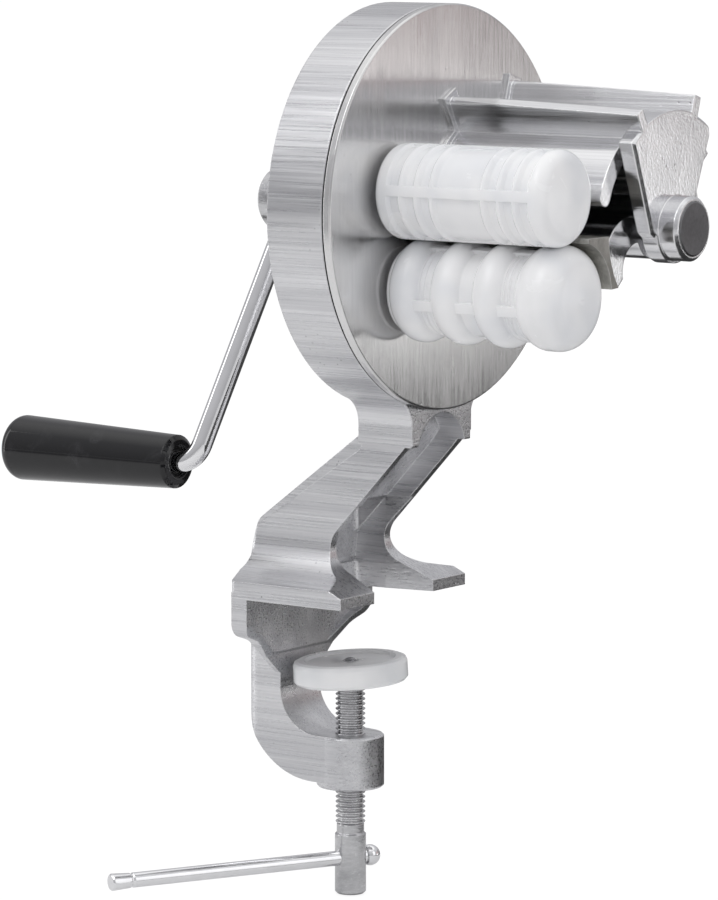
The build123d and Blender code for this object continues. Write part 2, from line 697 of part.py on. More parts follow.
def upper_roller():
    """Straight roller: shallow ring flutes at both ends of a wide middle recess."""
    full = UPPER_ROLLER_R
    floor = full - FLUTE_DEPTH
    wide_start = ROLLER_START + 3 * FLUTE_PITCH + 4.8
    wide_end = wide_start + MIDDLE_RECESS
    points = [(ROLLER_START, 0), (ROLLER_START, full - 2.6)]
    points.append((ROLLER_START + 2.6, full, ROLLER_START + 0.76, full - 0.76))
    for index in range(3):
        start = ROLLER_START + 4.8 + index * FLUTE_PITCH
        points += ring_groove(start, start + FLUTE_PITCH - 0.9, full, floor, 1.1)
    points += ring_groove(wide_start, wide_end, full, floor, 1.1)
    for index in range(3):
        start = wide_end + 0.9 + index * FLUTE_PITCH
        points += ring_groove(start, start + FLUTE_PITCH - 0.9, full, floor, 1.1)
    last = wide_end + 0.9 + 3 * FLUTE_PITCH
    points += roller_end(UPPER_ROLLER_END, full, 4.0)
    body = turned(points, UPPER_AXIS)
    body += roller_ribs(UPPER_AXIS, full - 0.02, ROLLER_START + 4.0, last, -4)
    return body - rod(ROLLER_START - 1, 50, SHAFT_R + SEAT_GAP, UPPER_AXIS)


def lower_roller():
    """Roller of four round lobes with shallow valleys between them."""
    full = LOWER_ROLLER_R
    floor = LOBE_FLOOR_R
    first = ROLLER_START + LOBE_HALF + 0.9
    points = [(ROLLER_START, 0), (ROLLER_START, floor)]
    for index in range(3):
        middle = first + LOBE_PITCH * index
        points.append((middle - LOBE_HALF, floor))
        points.append((middle + LOBE_HALF, floor, middle, full))
        if index != 1:
            for ridge in (1.2, 3.0):
                spot = middle + LOBE_HALF + ridge
                points += [(spot - 0.5, floor), (spot, floor + 0.5), (spot + 0.5, floor)]
    middle = first + LOBE_PITCH * 3
    points.append((middle - LOBE_HALF, floor))
    points.append((middle, full, middle - LOBE_HALF * 0.6, full - 1.1))
    points += roller_end(LOWER_ROLLER_END, full, 7.0)
    body = turned(points, LOWER_AXIS)
    body += roller_ribs(LOWER_AXIS, floor + 1.2, ROLLER_START + 4, middle, 15)
    return body - rod(ROLLER_START - 1, 50, SHAFT_R + SEAT_GAP, LOWER_AXIS)


def shafts():
    for name, axis, end in (
        ("upper_roller_shaft", UPPER_AXIS, 49.5),
        ("lower_roller_shaft", LOWER_AXIS, 49.5),
        ("rotor_shaft", ROTOR_AXIS, BOSS_END - 3.2),
    ):
        bar = rod(SIDE_SHAFT_REAR_X + 0.3, end, SHAFT_R, axis)
        save(chamfer(bar.edges().filter_by(GeomType.CIRCLE), 0.5), name)


# ---- crank --------------------------------------------------------------------------
def crank_frame(shape):
    """Turns a crank drawn hanging straight down to where it hangs."""
    return Pos(0, 0, AXIS_HEIGHT) * Rot(-CRANK_HANG, 0, 0) * Pos(0, 0, -AXIS_HEIGHT) * shape


CRANK_BEND_X = CRANK_ROOT_X - CRANK_RADIUS * tan(radians(CRANK_SLANT))
GRIP_AXIS = (0.0, AXIS_HEIGHT - CRANK_RADIUS)
GRIP_NEAR_X = CRANK_BEND_X - CRANK_BEND_R * tan(radians((90 - CRANK_SLANT) / 2))
GRIP_FAR_X = GRIP_NEAR_X - GRIP_LENGTH


def crank_arm():
    """Bent round bar: down the arm, round the bend and along inside the grip."""
    top = (CRANK_ROOT_X, 0, AXIS_HEIGHT)
    corner = (CRANK_BEND_X, 0, AXIS_HEIGHT - CRANK_RADIUS)
    end = (GRIP_FAR_X + 8, 0, AXIS_HEIGHT - CRANK_RADIUS)
    path = FilletPolyline(top, corner, end, radius=CRANK_BEND_R)
    start = Plane(origin=path @ 0, z_dir=path % 0)
    bar = sweep(start * Circle(CRANK_ROD_R), path=path)
    return crank_frame(bar - rod(CRANK_ROOT_X - 20, 0, CRANK_SHAFT_R + SEAT_GAP, CRANK_AXIS))


def crank_hub():
    """Round hub that clamps the arm to the shaft."""
    hub = rod(CRANK_ROOT_X - 8, BEARING_END_X - SIDE_GAP, CRANK_HUB_R, CRANK_AXIS)
    hub = chamfer(hub.edges().filter_by(GeomType.CIRCLE), 0.8)
    hub -= rod(CRANK_ROOT_X - 10, BEARING_END_X + 1, CRANK_SHAFT_R + SEAT_GAP, CRANK_AXIS)
    arm = Pos(CRANK_ROOT_X, 0, AXIS_HEIGHT) * Rot(0, CRANK_SLANT, 0) * Pos(0, 0, -20)
    socket = arm * Cylinder(CRANK_ROD_R + SEAT_GAP, 40)
    screw_x = CRANK_ROOT_X
    hole = Pos(screw_x, 0, AXIS_HEIGHT + 10) * Cylinder(2.0 + SEAT_GAP, 20)
    return crank_frame(hub - socket - hole)


def crank_set_screw():
    """Set screw on the far side of the hub from the arm."""
    length = CRANK_HUB_R - CRANK_SHAFT_R - 0.6
    screw = Pos(CRANK_ROOT_X, 0, AXIS_HEIGHT + CRANK_SHAFT_R + 0.1 + length / 2) * Cylinder(2.0, length)
    socket = Pos(CRANK_ROOT_X, 0, AXIS_HEIGHT + CRANK_HUB_R - 0.5)
    return crank_frame(screw - socket * extrude(RegularPolygon(1.1, 6), amount=3, both=True))


def crank_shaft():
    bar = rod(CRANK_ROOT_X - 8.6, -2.2, CRANK_SHAFT_R, CRANK_AXIS)
    return chamfer(bar.edges().filter_by(GeomType.CIRCLE), 0.6)


def grip():
    """Tapered hand grip that turns on the bar."""
    rim = 4.0
    recess_r = CRANK_ROD_R + 2.0
    points = [
        (GRIP_NEAR_X - 1.2, 0),
        (GRIP_NEAR_X - 1.2, recess_r),
        (GRIP_NEAR_X, recess_r),
        (GRIP_NEAR_X, GRIP_NEAR_R - 1.4),
        (GRIP_NEAR_X - 1.0, GRIP_NEAR_R),
        (GRIP_FAR_X + rim, GRIP_FAR_R),
        (GRIP_FAR_X, GRIP_FAR_R - rim, GRIP_FAR_X + rim * 0.293, GRIP_FAR_R - rim * 0.293),
        (GRIP_FAR_X, 0),
    ]
    body = turned(points, GRIP_AXIS)
    body -= rod(GRIP_FAR_X + 3.5, GRIP_NEAR_X + 1, CRANK_ROD_R + GRIP_BORE_GAP, GRIP_AXIS)
    body -= rod(GRIP_FAR_X + 3.5, GRIP_FAR_X + 8 + 0.1, CRANK_ROD_R + 1.6, GRIP_AXIS)
    return crank_frame(body)


def grip_retainer():
    """Push-on ring at the end of the bar that keeps the grip from sliding off."""
    ring = rod(GRIP_FAR_X + 4.5, GRIP_FAR_X + 7.7, CRANK_ROD_R + 1.3, GRIP_AXIS)
    return crank_frame(ring)


# ---- clamp --------------------------------------------------------------------------
PAD_BOTTOM = PAD_TOP - PAD_THICKNESS
BALL_Z = PAD_BOTTOM + BALL_R + 0.9
SCREW_TOP = PAD_BOTTOM - 1.6
HEAD_TOP = BOSS_BOTTOM_Z - HEAD_GAP
HEAD_BOTTOM = HEAD_TOP - HEAD_LENGTH
BAR_Z = HEAD_TOP - HEAD_LENGTH * 0.42


def thread_profile(bottom, top):
    """Half outline of a threaded bar: one ridge for each pitch."""
    count = int((top - bottom) / SCREW_PITCH)
    root = SCREW_MAJOR_R - THREAD_DEPTH
    crest = SCREW_PITCH * 0.14
    points = [(0, bottom), (root, bottom)]
    for index in range(count):
        base = bottom + index * SCREW_PITCH
        points.append((root, base + 0.1 * SCREW_PITCH))
        points.append((SCREW_MAJOR_R, base + SCREW_PITCH / 2 - crest / 2))
        points.append((SCREW_MAJOR_R, base + SCREW_PITCH / 2 + crest / 2))
        points.append((root, base + 0.9 * SCREW_PITCH))
    points += [(root, top), (0, top)]
    return Polygon(*points, align=None)


def clamp_screw():
    """Threaded bar with a plain head, a cross hole for the bar and a bore for the stud."""
    neck = 2.6
    thread = revolve(Plane.XZ * thread_profile(HEAD_TOP + neck, SCREW_TOP), Axis.Z)
    screw = Pos(SCREW_X, 0, 0) * thread
    screw += upright(HEAD_TOP - 0.5, HEAD_TOP + neck, SCREW_MAJOR_R - 0.35)
    head = upright(HEAD_BOTTOM, HEAD_TOP, HEAD_R)
    head = chamfer(head.edges().filter_by(GeomType.CIRCLE), 0.7)
    screw += head
    screw -= upright(SCREW_TOP - 6, SCREW_TOP + 1, STUD_R + RUNNING_CLEARANCE)
    hole = Pos(SCREW_X, 0, BAR_Z) * Rot(0, 0, BAR_HEADING) * Rot(0, 90, 0)
    return screw - hole * Cylinder(BAR_R + RUNNING_CLEARANCE, 30)


def swivel_stud():
    """Stud that stays still in the turning screw and carries the pad on its ball."""
    ball = Pos(SCREW_X, 0, BALL_Z) * Sphere(BALL_R)
    stem = upright(SCREW_TOP - 5.6, BALL_Z, STUD_R)
    collar = upright(SCREW_TOP + 0.1, SCREW_TOP + 0.8, STUD_R + 1.2)
    return ball + stem + collar


def clamp_pad():
    """Round pad with a soft rim, a shallow dish on top and a socket for the ball."""
    rim = 1.6
    points = [
        (0, PAD_BOTTOM),
        (PAD_R - 1.0, PAD_BOTTOM),
        (PAD_R, PAD_BOTTOM + 1.0),
        (PAD_R, PAD_TOP - rim),
        (PAD_R - 0.47, PAD_TOP - 0.47),
        (PAD_R - rim, PAD_TOP),
        (PAD_R - 3.6, PAD_TOP),
        (PAD_R - 4.4, PAD_TOP - 0.9),
        (0, PAD_TOP - 0.9),
    ]
    disc = Pos(SCREW_X, 0, 0) * revolve(Plane.XZ * Polygon(*points, align=None), Axis.Z)
    disc -= Pos(SCREW_X, 0, BALL_Z) * Sphere(BALL_R + 0.15)
    mouth = Cone(BALL_R + 1.2, BALL_R - 0.5, 3.0, align=(Align.CENTER, Align.CENTER, Align.MIN))
    disc -= Pos(SCREW_X, 0, PAD_BOTTOM - 0.6) * mouth
    lean = Pos(SCREW_X, 0, BALL_Z) * Rot(0, 0, -54) * Rot(PAD_TILT, 0, 0) * Rot(0, 0, 54)
    return lean * Pos(-SCREW_X, 0, -BALL_Z) * disc


def bar_place(shape):
    return Pos(SCREW_X, 0, BAR_Z) * Rot(0, 0, BAR_HEADING) * shape


def tommy_bar():
    """Sliding bar through the screw head, with a turned groove near its far end."""
    groove = 0.35
    stop = HEAD_R + 0.3
    points = [
        (-stop, 0),
        (-stop, BAR_R),
        (BAR_REACH - 7.6, BAR_R),
        (BAR_REACH - 7.3, BAR_R - groove),
        (BAR_REACH - 6.8, BAR_R - groove),
        (BAR_REACH - 6.5, BAR_R),
        (BAR_REACH - 0.5, BAR_R + 0.35),
        (BAR_REACH, BAR_R),
        (BAR_REACH, 0),
    ]
    return bar_place(turned(points, (0, 0)))


def bar_knob():
    """Pressed-on round knob that stops the bar at the head."""
    start = HEAD_R + 0.35
    ball = Pos(-start - 1.6, 0, 0) * Sphere(3.4)
    keep = Pos(-start - 5, 0, 0) * Box(10, 12, 12)
    return bar_place((ball & keep) - rod(-start, 1, BAR_R + SEAT_GAP, (0, 0)))


# ---- build and write ----------------------------------------------------------------
def main():
    os.makedirs("parts", exist_ok=True)
    save(frame_casting(), "frame_casting")
    save(front_plate(), "front_plate")
    save(forming_hood(), "forming_hood")
    save(forming_anvil(), "forming_anvil")
    save(boss_plug(), "boss_plug")
    save(cover_screws(), "cover_screws")
    save(tapped_screws(hood_screw_places(), 6.5), "hood_screws")
    save(tapped_screws(anvil_screw_places(), 8.5), "anvil_screw")
    bushes()
    gear_train()
    shafts()
    save(forming_rotor(), "forming_rotor")
    save(upper_roller(), "upper_roller")
    save(lower_roller(), "lower_roller")
    save(crank_shaft(), "crank_shaft")
    save(crank_hub(), "crank_hub")
    save(crank_set_screw(), "crank_set_screw")
    save(crank_arm(), "crank_arm")
    save(grip(), "grip")
    save(grip_retainer(), "grip_retainer")
    save(clamp_screw(), "clamp_screw")
    save(swivel_stud(), "swivel_stud")
    save(clamp_pad(), "clamp_pad")
    save(tommy_bar(), "tommy_bar")
    save(bar_knob(), "bar_knob")


main()
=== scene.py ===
# %% [markdown]
# # A hand-cranked dough roller on its table clamp
# This lesson gives each piece its finish: brushed and machined aluminium, milky white plastic,
# chrome, bright steel and glossy black. It ends with the studio and the camera.

import json
from math import cos, radians, sin

import bpy
from mathutils import Matrix, Vector


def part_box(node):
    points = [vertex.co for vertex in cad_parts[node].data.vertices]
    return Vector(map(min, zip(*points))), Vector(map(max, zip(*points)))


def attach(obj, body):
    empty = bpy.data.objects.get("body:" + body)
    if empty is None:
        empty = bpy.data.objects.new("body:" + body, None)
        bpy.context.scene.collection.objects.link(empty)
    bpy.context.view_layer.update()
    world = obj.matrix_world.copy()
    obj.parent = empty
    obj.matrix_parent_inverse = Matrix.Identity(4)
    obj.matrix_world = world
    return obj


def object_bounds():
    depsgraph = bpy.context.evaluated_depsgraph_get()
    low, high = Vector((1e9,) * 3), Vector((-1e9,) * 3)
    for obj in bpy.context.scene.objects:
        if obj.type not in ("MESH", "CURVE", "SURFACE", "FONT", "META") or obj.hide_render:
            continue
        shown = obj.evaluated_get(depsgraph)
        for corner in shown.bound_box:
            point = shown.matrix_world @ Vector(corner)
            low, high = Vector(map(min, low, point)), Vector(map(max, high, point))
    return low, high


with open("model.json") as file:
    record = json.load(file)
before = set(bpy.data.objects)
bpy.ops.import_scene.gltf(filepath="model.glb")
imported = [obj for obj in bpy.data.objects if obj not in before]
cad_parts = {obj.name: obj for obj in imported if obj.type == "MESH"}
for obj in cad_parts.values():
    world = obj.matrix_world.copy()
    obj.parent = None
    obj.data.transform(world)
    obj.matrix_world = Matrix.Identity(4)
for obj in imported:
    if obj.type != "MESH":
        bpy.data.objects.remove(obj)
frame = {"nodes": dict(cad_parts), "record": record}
cad_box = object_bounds()
bpy.ops.object.select_all(action="DESELECT")
floor_height = cad_box[0][2]
print("cad box", cad_box)

# %% [markdown]
# Two things are needed by more than one cell below: the middle of the drum's face, which the
# camera, lights and seam are set out from, and the camera's direction. The camera stands 36 degrees
# round from the side and 7 degrees up. Both cards and lamps are placed by that direction, because
# what a polished face shows depends on where it is seen from.

# %% Directions
DRUM_CENTRE = Vector((0.052, 0.0, 0.124))
AZIMUTH = radians(36.04)
ELEVATION = radians(7.11)
to_camera = Vector((sin(AZIMUTH) * cos(ELEVATION), -cos(AZIMUTH) * cos(ELEVATION), sin(ELEVATION)))
to_right = Vector((cos(AZIMUTH), sin(AZIMUTH), 0.0))
to_top = to_camera.cross(to_right)
away = Vector((sin(AZIMUTH), cos(AZIMUTH), 0.0))
across = Vector((away.y, -away.x, 0.0))
print("the drum's face mirrors what lies towards", [round(v, 2) for v in away])

# %% [markdown]
# Every finish below is a node tree. Two short helpers keep the trees readable: one adds a node
# and sets its plain values, the other makes a new material with an empty Principled shader.
# A helper is better than copying twenty lines for each finish.

# %% Helpers for node trees
def add(tree, kind, values=None, **settings):
    node = tree.nodes.new(kind)
    for name, value in settings.items():
        setattr(node, name, value)
    for name, value in (values or {}).items():
        node.inputs[name].default_value = value
    return node


def new_finish(name):
    finish = bpy.data.materials.new(name)
    finish.use_nodes = True
    tree = finish.node_tree
    shader = tree.nodes["Principled BSDF"]
    place = add(tree, "ShaderNodeTexCoord")
    return finish, tree, shader, place.outputs["Object"]


def new_group(name, inputs, outputs):
    group = bpy.data.node_groups.new(name, "ShaderNodeTree")
    for socket, kind, value in inputs:
        made = group.interface.new_socket(socket, in_out="INPUT", socket_type=kind)
        if value is not None:
            made.default_value = value
    for socket, kind in outputs:
        group.interface.new_socket(socket, in_out="OUTPUT", socket_type=kind)
    enter = group.nodes.new("NodeGroupInput")
    leave = group.nodes.new("NodeGroupOutput")
    return group, enter.outputs, leave.inputs


def use_group(tree, group, **values):
    node = tree.nodes.new("ShaderNodeGroup")
    node.node_tree = group
    for name, value in values.items():
        node.inputs[name.replace("_", " ")].default_value = value
    return node


# %% [markdown]
# ## Brushed grain
# Aluminium that has been drawn along a belt carries fine parallel lines. They could be a picture,
# but noise that is squeezed across the lines and stretched along them gives the same look on
# every side of the casting and needs no unwrapping. Two sizes are mixed: hair lines that change
# the gloss, and wide soft bands that change the tone, because a belt never presses evenly.

# %% Group: brushed grain
brushed_grain, grain_in, grain_out = new_group(
    "brushed grain",
    [
        ("Place", "NodeSocketVector", None),
        ("Squeeze", "NodeSocketVector", (6.0, 900.0, 900.0)),
        ("Band Squeeze", "NodeSocketVector", (4.0, 60.0, 60.0)),
        ("Band Share", "NodeSocketFloat", 0.5),
    ],
    [("Lines", "NodeSocketFloat"), ("Tone", "NodeSocketFloat")],
)
tree = brushed_grain
fine = add(tree, "ShaderNodeVectorMath", operation="MULTIPLY")
tree.links.new(grain_in["Place"], fine.inputs[0])
tree.links.new(grain_in["Squeeze"], fine.inputs[1])
hair = add(tree, "ShaderNodeTexNoise", {"Scale": 1.0, "Detail": 3.0, "Roughness": 0.65})
tree.links.new(fine.outputs[0], hair.inputs["Vector"])
slow = add(tree, "ShaderNodeVectorMath", operation="MULTIPLY")
tree.links.new(grain_in["Place"], slow.inputs[0])
tree.links.new(grain_in["Band Squeeze"], slow.inputs[1])
band = add(tree, "ShaderNodeTexNoise", {"Scale": 1.0, "Detail": 2.0, "Roughness": 0.5})
tree.links.new(slow.outputs[0], band.inputs["Vector"])
both = add(tree, "ShaderNodeMix", data_type="FLOAT")
tree.links.new(grain_in["Band Share"], both.inputs["Factor"])
tree.links.new(hair.outputs["Fac"], both.inputs["A"])
tree.links.new(band.outputs["Fac"], both.inputs["B"])
tree.links.new(hair.outputs["Fac"], grain_out["Lines"])
tree.links.new(both.outputs["Result"], grain_out["Tone"])
print("made", brushed_grain.name)

# %% [markdown]
# ## Pits and scuffs
# A casting that has only been wiped with a belt keeps tiny dark pores, and handling leaves short
# scuffs. Pores are the centres of Voronoi cells, cut down to a few by a noise, and scuffs are a
# stretched noise with only its peaks kept. Both come out as masks, so each finish decides how
# dark or rough they are.

# %% Group: pits and scuffs
pits_scuffs, pit_in, pit_out = new_group(
    "pits and scuffs",
    [
        ("Place", "NodeSocketVector", None),
        ("Pit Density", "NodeSocketFloat", 420.0),
        ("Scuff Size", "NodeSocketFloat", 38.0),
    ],
    [("Pits", "NodeSocketFloat"), ("Scuffs", "NodeSocketFloat")],
)
tree = pits_scuffs
cells = add(tree, "ShaderNodeTexVoronoi", {"Randomness": 1.0})
tree.links.new(pit_in["Place"], cells.inputs["Vector"])
tree.links.new(pit_in["Pit Density"], cells.inputs["Scale"])
hole = add(tree, "ShaderNodeMapRange", {"From Min": 0.16, "From Max": 0.06})
tree.links.new(cells.outputs["Distance"], hole.inputs["Value"])
patch = add(tree, "ShaderNodeTexNoise", {"Scale": 55.0, "Detail": 2.0})
tree.links.new(pit_in["Place"], patch.inputs["Vector"])
few = add(tree, "ShaderNodeMapRange", {"From Min": 0.54, "From Max": 0.66})
tree.links.new(patch.outputs["Fac"], few.inputs["Value"])
pits = add(tree, "ShaderNodeMath", operation="MULTIPLY")
tree.links.new(hole.outputs["Result"], pits.inputs[0])
tree.links.new(few.outputs["Result"], pits.inputs[1])
tree.links.new(pits.outputs[0], pit_out["Pits"])
rub = add(tree, "ShaderNodeTexNoise", {"Detail": 4.0, "Roughness": 0.6, "Distortion": 0.6})
tree.links.new(pit_in["Place"], rub.inputs["Vector"])
tree.links.new(pit_in["Scuff Size"], rub.inputs["Scale"])
peaks = add(tree, "ShaderNodeMapRange", {"From Min": 0.56, "From Max": 0.72})
tree.links.new(rub.outputs["Fac"], peaks.inputs["Value"])
tree.links.new(peaks.outputs["Result"], pit_out["Scuffs"])
print("made", pits_scuffs.name)

# %% [markdown]
# ## Softened edges
# Real edges are never knife sharp: a tumble or a thumb of emery rounds them by a few tenths of a
# millimetre, and that thin round catches the light. The Bevel node bends the normal near an edge
# without touching the mesh. Comparing the bent normal with the true one also finds the edge, which
# gives a mask for a painted highlight: a bright line painted into the colour along each edge.

# %% Helper: edge normal and painted edge highlight mask
def edge_light(tree, radius):
    soft = add(tree, "ShaderNodeBevel", {"Radius": radius}, samples=6)
    true = add(tree, "ShaderNodeNewGeometry")
    match = add(tree, "ShaderNodeVectorMath", operation="DOT_PRODUCT")
    tree.links.new(soft.outputs["Normal"], match.inputs[0])
    tree.links.new(true.outputs["Normal"], match.inputs[1])
    mask = add(tree, "ShaderNodeMapRange", {"From Min": 0.99, "From Max": 0.80})
    tree.links.new(match.outputs["Value"], mask.inputs["Value"])
    return soft.outputs["Normal"], mask.outputs["Result"]


# %% [markdown]
# ## Metals
# The casting, the plate and the hood are the same alloy with different hands on it, and the steel
# and chrome pieces differ only in tone, gloss and line size. One maker builds them all: tone comes
# from two colours mixed by the grain, gloss from the hair lines, relief from a shallow bump, and
# then pores, scuffs and a painted highlight along the edges are laid over it.

# %% Helper: metal finish
def metal_finish(
    name,
    dark,
    light,
    rough,
    squeeze,
    bands,
    band_share=0.5,
    relief=0.12,
    pit_tone=0.45,
    scuff=0.08,
    edge=0.0004,
    edge_highlight_tone=0.95,
    pit_density=420.0,
):
    finish, tree, shader, place = new_finish(name)
    grain = use_group(tree, brushed_grain, Band_Share=band_share)
    grain.inputs["Squeeze"].default_value = squeeze
    grain.inputs["Band Squeeze"].default_value = bands
    tree.links.new(place, grain.inputs["Place"])
    marks = use_group(tree, pits_scuffs, Pit_Density=pit_density)
    tree.links.new(place, marks.inputs["Place"])
    spread = add(tree, "ShaderNodeMapRange", {"From Min": 0.3, "From Max": 0.7})
    tree.links.new(grain.outputs["Tone"], spread.inputs["Value"])
    tone = add(tree, "ShaderNodeMix", data_type="RGBA")
    tone.inputs["A"].default_value = (*dark, 1)
    tone.inputs["B"].default_value = (*light, 1)
    tree.links.new(spread.outputs["Result"], tone.inputs["Factor"])
    pitted = add(tree, "ShaderNodeMix", data_type="RGBA", blend_type="MULTIPLY")
    pitted.inputs["B"].default_value = (pit_tone, pit_tone, pit_tone, 1)
    tree.links.new(marks.outputs["Pits"], pitted.inputs["Factor"])
    tree.links.new(tone.outputs["Result"], pitted.inputs["A"])
    # The edge mask paints a bright highlight line into the base colour along every edge.
    normal, edge_highlight_mask = edge_light(tree, edge)
    bright = add(tree, "ShaderNodeMix", data_type="RGBA")
    bright.inputs["B"].default_value = (edge_highlight_tone, edge_highlight_tone, edge_highlight_tone, 1)
    tree.links.new(edge_highlight_mask, bright.inputs["Factor"])
    tree.links.new(pitted.outputs["Result"], bright.inputs["A"])
    tree.links.new(bright.outputs["Result"], shader.inputs["Base Color"])
    gloss = add(tree, "ShaderNodeMapRange", {"From Min": 0.25, "From Max": 0.75})
    gloss.inputs["To Min"].default_value = rough[0]
    gloss.inputs["To Max"].default_value = rough[1]
    tree.links.new(grain.outputs["Lines"], gloss.inputs["Value"])
    scuffed = add(tree, "ShaderNodeMath", operation="MULTIPLY_ADD")
    scuffed.inputs[1].default_value = scuff
    tree.links.new(marks.outputs["Scuffs"], scuffed.inputs[0])
    tree.links.new(gloss.outputs["Result"], scuffed.inputs[2])
    tree.links.new(scuffed.outputs[0], shader.inputs["Roughness"])
    height = add(tree, "ShaderNodeMath", operation="SUBTRACT")
    tree.links.new(grain.outputs["Lines"], height.inputs[0])
    tree.links.new(marks.outputs["Pits"], height.inputs[1])
    bump = add(tree, "ShaderNodeBump", {"Strength": relief, "Distance": 0.0004})
    tree.links.new(height.outputs[0], bump.inputs["Height"])
    tree.links.new(normal, bump.inputs["Normal"])
    tree.links.new(bump.outputs["Normal"], shader.inputs["Normal"])
    shader.inputs["Metallic"].default_value = 1.0
    return finish


# %% [markdown]
# Four aluminium finishes follow. The casting has long belt lines, the plate fine upright ones, the
# hood is polished, and the anvil keeps the coarse skin that it was cast with.

# %% The aluminium finishes
cast_aluminium = metal_finish(
    "cast aluminium, belt brushed",
    dark=(0.50, 0.50, 0.52),
    light=(0.86, 0.86, 0.87),
    rough=(0.20, 0.42),
    squeeze=(14.0, 1500.0, 1500.0),
    bands=(6.0, 130.0, 130.0),
    relief=0.22,
)
machined_aluminium = metal_finish(
    "machined aluminium face",
    dark=(0.66, 0.655, 0.655),
    light=(0.84, 0.835, 0.83),
    rough=(0.12, 0.24),
    squeeze=(900.0, 900.0, 70.0),
    bands=(60.0, 60.0, 10.0),
    band_share=0.65,
    relief=0.06,
    pit_tone=0.6,
    pit_density=300.0,
)
polished_aluminium = metal_finish(
    "polished aluminium casting",
    dark=(0.66, 0.66, 0.675),
    light=(0.90, 0.90, 0.91),
    rough=(0.10, 0.24),
    squeeze=(10.0, 900.0, 900.0),
    bands=(7.0, 60.0, 60.0),
    relief=0.10,
    edge=0.0006,
)
raw_casting = metal_finish(
    "rough cast aluminium",
    dark=(0.36, 0.355, 0.33),
    light=(0.66, 0.65, 0.61),
    rough=(0.38, 0.60),
    squeeze=(700.0, 1100.0, 500.0),
    bands=(120.0, 200.0, 120.0),
    relief=0.8,
    edge=0.0003,
)
print("aluminium finishes made")

# %% The steels, chrome and bronze
bright_steel = metal_finish(
    "bright turned steel",
    dark=(0.42, 0.42, 0.43),
    light=(0.72, 0.72, 0.73),
    rough=(0.14, 0.30),
    squeeze=(500.0, 500.0, 1500.0),
    bands=(60.0, 60.0, 160.0),
    pit_density=700.0,
    edge=0.0003,
)
dark_steel = metal_finish(
    "dark ground steel",
    dark=(0.14, 0.14, 0.145),
    light=(0.27, 0.27, 0.28),
    rough=(0.32, 0.50),
    squeeze=(700.0, 700.0, 700.0),
    bands=(80.0, 80.0, 80.0),
    edge_highlight_tone=0.5,
)
chrome_plate = metal_finish(
    "bright chrome plate",
    dark=(0.80, 0.80, 0.81),
    light=(0.92, 0.92, 0.93),
    rough=(0.03, 0.09),
    squeeze=(120.0, 120.0, 120.0),
    bands=(30.0, 30.0, 30.0),
    relief=0.02,
    pit_tone=0.8,
    scuff=0.05,
)
bush_bronze = metal_finish(
    "oiled bearing bronze",
    dark=(0.36, 0.24, 0.10),
    light=(0.62, 0.44, 0.20),
    rough=(0.25, 0.42),
    squeeze=(300.0, 900.0, 900.0),
    bands=(60.0, 60.0, 60.0),
    edge_highlight_tone=0.7,
)
print("steel, chrome and bronze made")

# %% [markdown]
# ## White plastic
# The rollers and the pad are a milky food-grade plastic. Light goes a few millimetres in and comes
# out again, which subsurface scattering does, and the thin ribs look lighter than the thick core.
# A slow noise makes the milkiness uneven, faint turning lines break the gloss, and a dusting of
# flour-fine scuffs dulls the crests.

# %% Helper: milky plastic
def milky_plastic(name, pale, deep, glow):
    finish, tree, shader, place = new_finish(name)
    cloud = add(tree, "ShaderNodeTexNoise", {"Scale": 45.0, "Detail": 2.0, "Roughness": 0.5})
    tree.links.new(place, cloud.inputs["Vector"])
    tone = add(tree, "ShaderNodeMix", data_type="RGBA")
    tone.inputs["A"].default_value = (*deep, 1)
    tone.inputs["B"].default_value = (*pale, 1)
    clear = add(tree, "ShaderNodeMapRange", {"From Min": 0.35, "From Max": 0.6})
    tree.links.new(cloud.outputs["Fac"], clear.inputs["Value"])
    tree.links.new(clear.outputs["Result"], tone.inputs["Factor"])
    tree.links.new(tone.outputs["Result"], shader.inputs["Base Color"])
    turning = use_group(tree, brushed_grain)
    turning.inputs["Squeeze"].default_value = (1800.0, 60.0, 60.0)
    tree.links.new(place, turning.inputs["Place"])
    marks = use_group(tree, pits_scuffs, Scuff_Size=90.0)
    tree.links.new(place, marks.inputs["Place"])
    gloss = add(tree, "ShaderNodeMapRange", {"To Min": 0.20, "To Max": 0.36})
    tree.links.new(marks.outputs["Scuffs"], gloss.inputs["Value"])
    tree.links.new(gloss.outputs["Result"], shader.inputs["Roughness"])
    normal = edge_light(tree, 0.0005)[0]
    bump = add(tree, "ShaderNodeBump", {"Strength": 0.05, "Distance": 0.0002})
    tree.links.new(turning.outputs["Lines"], bump.inputs["Height"])
    tree.links.new(normal, bump.inputs["Normal"])
    tree.links.new(bump.outputs["Normal"], shader.inputs["Normal"])
    shader.inputs["Subsurface Weight"].default_value = glow
    shader.inputs["Subsurface Radius"].default_value = (1.0, 1.0, 1.0)
    shader.inputs["Subsurface Scale"].default_value = 0.004
    shader.inputs["IOR"].default_value = 1.5
    return finish


white_plastic = milky_plastic("milky white plastic", (0.96, 0.96, 0.965), (0.84, 0.85, 0.87), 0.6)
pad_plastic = milky_plastic("milky pad plastic", (0.93, 0.93, 0.93), (0.80, 0.81, 0.82), 0.6)
print("white plastics made")

# %% [markdown]
# ## Black grip
# The grip is moulded in glossy black plastic. A mirror-flat black looks drawn, so a very shallow
# swell bends the reflections a little, as moulded plastic does, and a noise dulls it where hands
# go.

